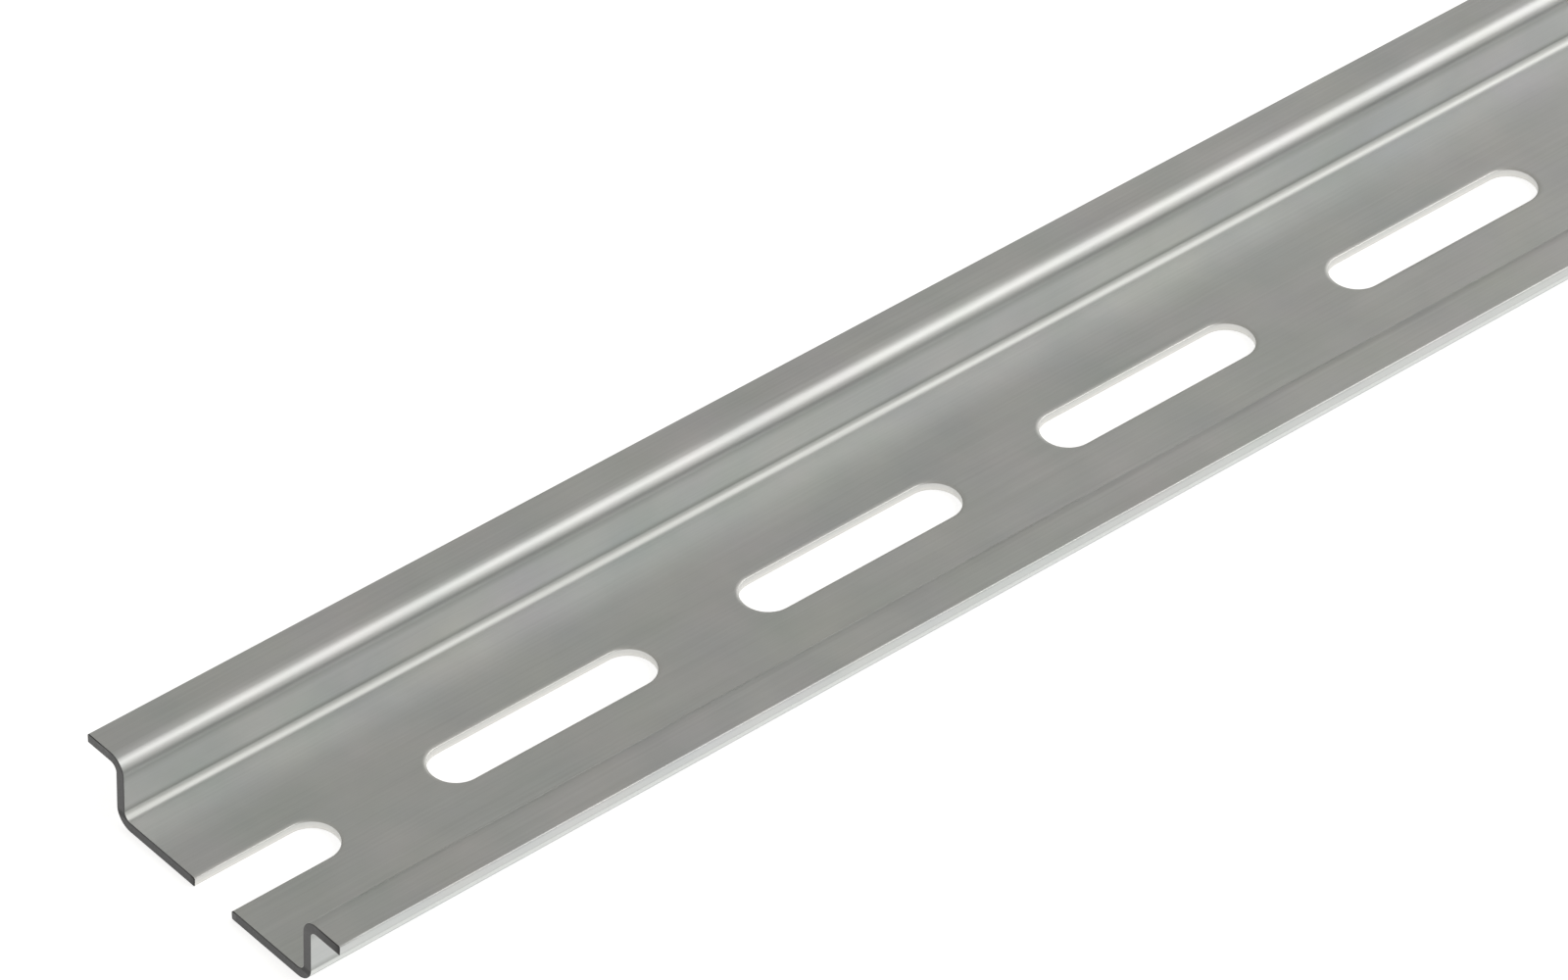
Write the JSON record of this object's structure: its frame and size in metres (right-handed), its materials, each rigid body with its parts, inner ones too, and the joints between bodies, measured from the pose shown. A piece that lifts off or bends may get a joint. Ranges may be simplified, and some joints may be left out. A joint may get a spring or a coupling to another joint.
{
  "type": "slotted top-hat mounting rail",
  "caption": "Straight galvanised steel top-hat mounting rail with a channel base, two outward flanges and a row of round-ended slots.",
  "frame": {"origin": "under the middle of the rail, on the plane of its back face", "axes": "+X along the rail, +Y across it, +Z from the back face towards the flanges"},
  "size_m": [1, 0.035, 0.0075],
  "materials": {
    "zinc_coated_steel": "satin"
  },
  "bodies": {
    "root": {"slotted_rail": "zinc_coated_steel"}
  },
  "joints": []
}
